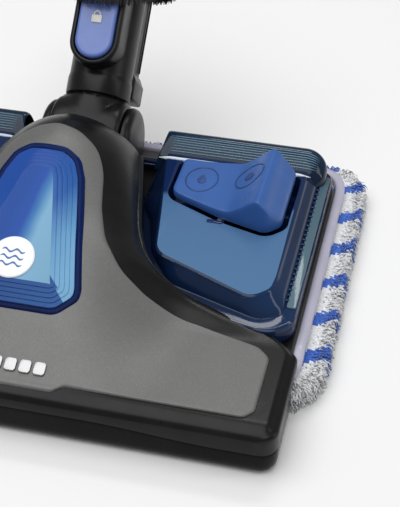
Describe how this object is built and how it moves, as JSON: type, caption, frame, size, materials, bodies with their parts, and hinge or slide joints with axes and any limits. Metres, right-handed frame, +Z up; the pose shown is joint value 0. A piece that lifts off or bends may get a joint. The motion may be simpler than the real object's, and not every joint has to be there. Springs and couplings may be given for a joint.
{
  "type": "wet and dry floor head",
  "caption": "Wide floor head with a front suction nozzle, clip-on water tank with rocker valve, striped microfibre mop pad and a tilting, swivelling neck.",
  "frame": {"origin": "on the floor, under the middle of the whole part's footprint", "axes": "+Z up, +Y to the rear (the side that the neck leans to), +X to the right seen from behind the handle"},
  "size_m": [0.297, 0.2978, 0.1571],
  "materials": {
    "black_satin": "satin moulded black",
    "black_gloss": "gloss moulded black",
    "titanium_paint": "satin metallic lacquer on plastic",
    "window_blue": "transparent tinted blue",
    "window_back": "deep blue reflective",
    "badge_white": "gloss white",
    "badge_metal": "bright",
    "duct_black": "matt",
    "rubber_black": "matt",
    "velour_red": "short pile",
    "roller_grey": "satin",
    "steel": "turned",
    "felt": "needled felt",
    "tank_blue": "transparent tinted navy",
    "tank_top_blue": "transparent tinted blue",
    "rocker_blue": "satin",
    "cap_blue": "satin",
    "valve_white": "satin",
    "rim_lavender": "satin",
    "plate_grey": "satin",
    "pad_fabric": "twisted microfibre pile, white with blue bands",
    "lock_blue": "satin gloss",
    "bristle": "nylon bristle"
  },
  "bodies": {
    "chassis": {"lower_housing": "black_satin", "front_bumper": "black_gloss", "main_housing": "black_satin", "top_cover": "titanium_paint", "window_backing": "window_back", "window_lens": "window_blue", "emblem_badge": "badge_white", "badge_strip": "badge_metal", "suction_duct": "duct_black", "mouth_lip": "rubber_black", "lint_strips": "velour_red", "neck_yoke": "black_satin", "pivot_caps": "black_satin", "roller_axles": "steel", "housing_screws": "steel", "water_felts": "felt"},
    "roller_left": {"roller_left": "roller_grey"},
    "roller_right": {"roller_right": "roller_grey"},
    "tank": {"tank_lower": "tank_blue", "tank_upper": "tank_top_blue", "tank_ridge_trim": "tank_top_blue", "filler_neck": "tank_top_blue", "valve_seal": "rubber_black", "valve_spring": "steel", "rocker_pin": "steel", "cap_hinge_pin": "steel"},
    "rocker": {"flow_rocker": "rocker_blue", "rocker_icons": "rocker_blue"},
    "plunger": {"valve_plunger": "valve_white"},
    "cap": {"filler_cap": "cap_blue", "cap_seal": "rubber_black"},
    "mop": {"mop_plate": "plate_grey", "mop_rim": "rim_lavender", "hook_strips": "plate_grey", "mop_pad": "pad_fabric"},
    "neck": {"pitch_barrel": "black_satin", "barrel_seals": "rubber_black"},
    "swivel": {"neck_tube": "black_satin", "neck_spine": "black_satin", "lock_housing": "black_satin", "lock_spring": "steel"},
    "lock": {"lock_button": "lock_blue", "lock_icon": "badge_white", "lock_latch": "steel"},
    "wand": {"wand_tube": "black_satin", "wand_spigot": "black_satin"},
    "dust_brush": {"brush_ring": "black_satin", "brush_bristles": "bristle"}
  },
  "joints": [
    {"name": "neck_tilt", "type": "hinge", "parent": "chassis", "child": "neck", "pos_m": [0, 0.03012, 0.04], "axis": [1, 0, 0], "range_deg": [-33, 34]},
    {"name": "neck_swivel", "type": "hinge", "parent": "neck", "child": "swivel", "pos_m": [0, 0.03012, 0.04], "axis": [0, 0.7133, 0.7009], "range_deg": [-90, 90]},
    {"name": "lock_press", "type": "slide", "parent": "swivel", "child": "lock", "axis": [0, 0.7009, -0.7133], "range_m": [0, 0.002], "stiffness_N_per_m": 400, "springref_m": -0.0005, "deforming": ["lock_spring"]},
    {"name": "wand_release", "type": "slide", "parent": "swivel", "child": "wand", "axis": [0, 0.7133, 0.7009], "range_m": [0, 0.035]},
    {"name": "dust_brush_slide", "type": "slide", "parent": "wand", "child": "dust_brush", "axis": [0, 0.7133, 0.7009], "range_m": [0, 0.03]},
    {"name": "flow_rocker_flip", "type": "hinge", "parent": "tank", "child": "rocker", "pos_m": [0.082, -0.00188, 0.033], "axis": [0, 1, 0], "range_deg": [0, 20]},
    {"name": "valve_open", "type": "slide", "parent": "tank", "child": "plunger", "axis": [0, 0, 1], "range_m": [-0.0046, 0], "deforming": ["valve_spring"]},
    {"name": "filler_cap_open", "type": "hinge", "parent": "tank", "child": "cap", "pos_m": [-0.088, -0.00188, 0.0392], "axis": [-1, 0, 0], "range_deg": [0, 110]},
    {"name": "tank_release", "type": "slide", "parent": "chassis", "child": "tank", "axis": [0, 1, 0], "range_m": [0, 0.05]},
    {"name": "mop_release", "type": "slide", "parent": "chassis", "child": "mop", "axis": [0, 1, 0], "range_m": [0, 0.09]},
    {"name": "roller_left_spin", "type": "hinge", "parent": "chassis", "child": "roller_left", "pos_m": [-0.126, -0.13488, 0.006], "axis": [1, 0, 0], "continuous": true},
    {"name": "roller_right_spin", "type": "hinge", "parent": "chassis", "child": "roller_right", "pos_m": [0.126, -0.13488, 0.006], "axis": [1, 0, 0], "continuous": true}
  ],
  "couplings": [
    {"joint": "valve_open", "follows": "flow_rocker_flip", "m_per_rad": -0.0129}
  ]
}
